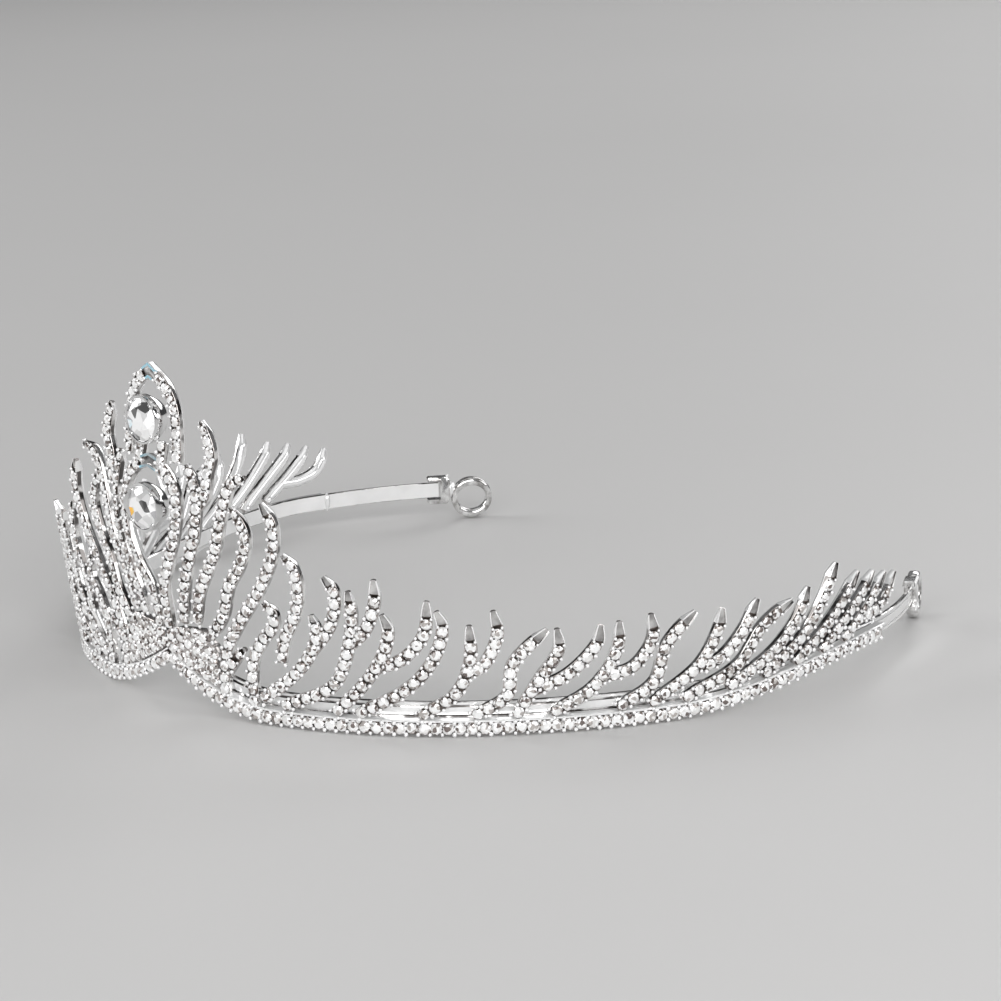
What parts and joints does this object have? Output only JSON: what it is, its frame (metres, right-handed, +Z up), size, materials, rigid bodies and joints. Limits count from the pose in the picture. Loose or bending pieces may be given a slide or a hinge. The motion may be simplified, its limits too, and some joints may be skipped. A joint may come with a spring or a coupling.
{
  "type": "bridal tiara",
  "caption": "Open bridal tiara: rhinestone flames on a curved base rail, two large crystals in pointed frames on the centre line, and bare straps with end rings.",
  "frame": {"origin": "on the surface that the tiara stands on, under the middle of its bounding box", "axes": "+Z up, -Y is the way the wearer's face looks, +X is to the right for someone who faces the wearer"},
  "size_m": [0.164, 0.1426, 0.0621],
  "materials": {
    "silver_casting": "bright silver-plated casting set with small clear stones",
    "polished_strip": "mirror-polished silver plate",
    "cut_crystal": "clear facetted crystal"
  },
  "bodies": {
    "root": {"base_rail_left": "polished_strip", "base_rail_right": "polished_strip", "end_clamp_left": "polished_strip", "end_clamp_right": "polished_strip", "end_ring_left": "polished_strip", "end_ring_right": "polished_strip", "end_strap_left": "polished_strip", "end_strap_right": "polished_strip", "flame_01_left": "silver_casting", "flame_01_right": "silver_casting", "flame_02_left": "silver_casting", "flame_02_right": "silver_casting", "flame_03_left": "silver_casting", "flame_03_right": "silver_casting", "flame_04_left": "silver_casting", "flame_04_right": "silver_casting", "flame_05_left": "silver_casting", "flame_05_right": "silver_casting", "flame_06_left": "silver_casting", "flame_06_right": "silver_casting", "flame_07_left": "silver_casting", "flame_07_right": "silver_casting", "flame_08_left": "silver_casting", "flame_08_right": "silver_casting", "flame_09_left": "silver_casting", "flame_09_right": "silver_casting", "flame_10_left": "silver_casting", "flame_10_right": "silver_casting", "flame_11_left": "silver_casting", "flame_11_right": "silver_casting", "flame_12_left": "silver_casting", "flame_12_right": "silver_casting", "flame_13_left": "silver_casting", "flame_13_right": "silver_casting", "flame_14_left": "silver_casting", "flame_14_right": "silver_casting", "flame_15_left": "silver_casting", "flame_15_right": "silver_casting", "flame_16_left": "silver_casting", "flame_16_right": "silver_casting", "flame_17_left": "silver_casting", "flame_17_right": "silver_casting", "flame_18_left": "silver_casting", "flame_18_right": "silver_casting", "flame_19_left": "silver_casting", "flame_19_right": "silver_casting", "flame_20_left": "silver_casting", "flame_20_right": "silver_casting", "flame_21_left": "silver_casting", "flame_21_right": "silver_casting", "flame_22_left": "silver_casting", "flame_22_right": "silver_casting", "front_apron": "silver_casting", "inner_band": "polished_strip", "inner_frame": "silver_casting", "lower_bezel": "polished_strip", "lower_crystal": "cut_crystal", "outer_frame": "silver_casting", "upper_bezel": "polished_strip", "upper_crystal": "cut_crystal"}
  },
  "joints": []
}
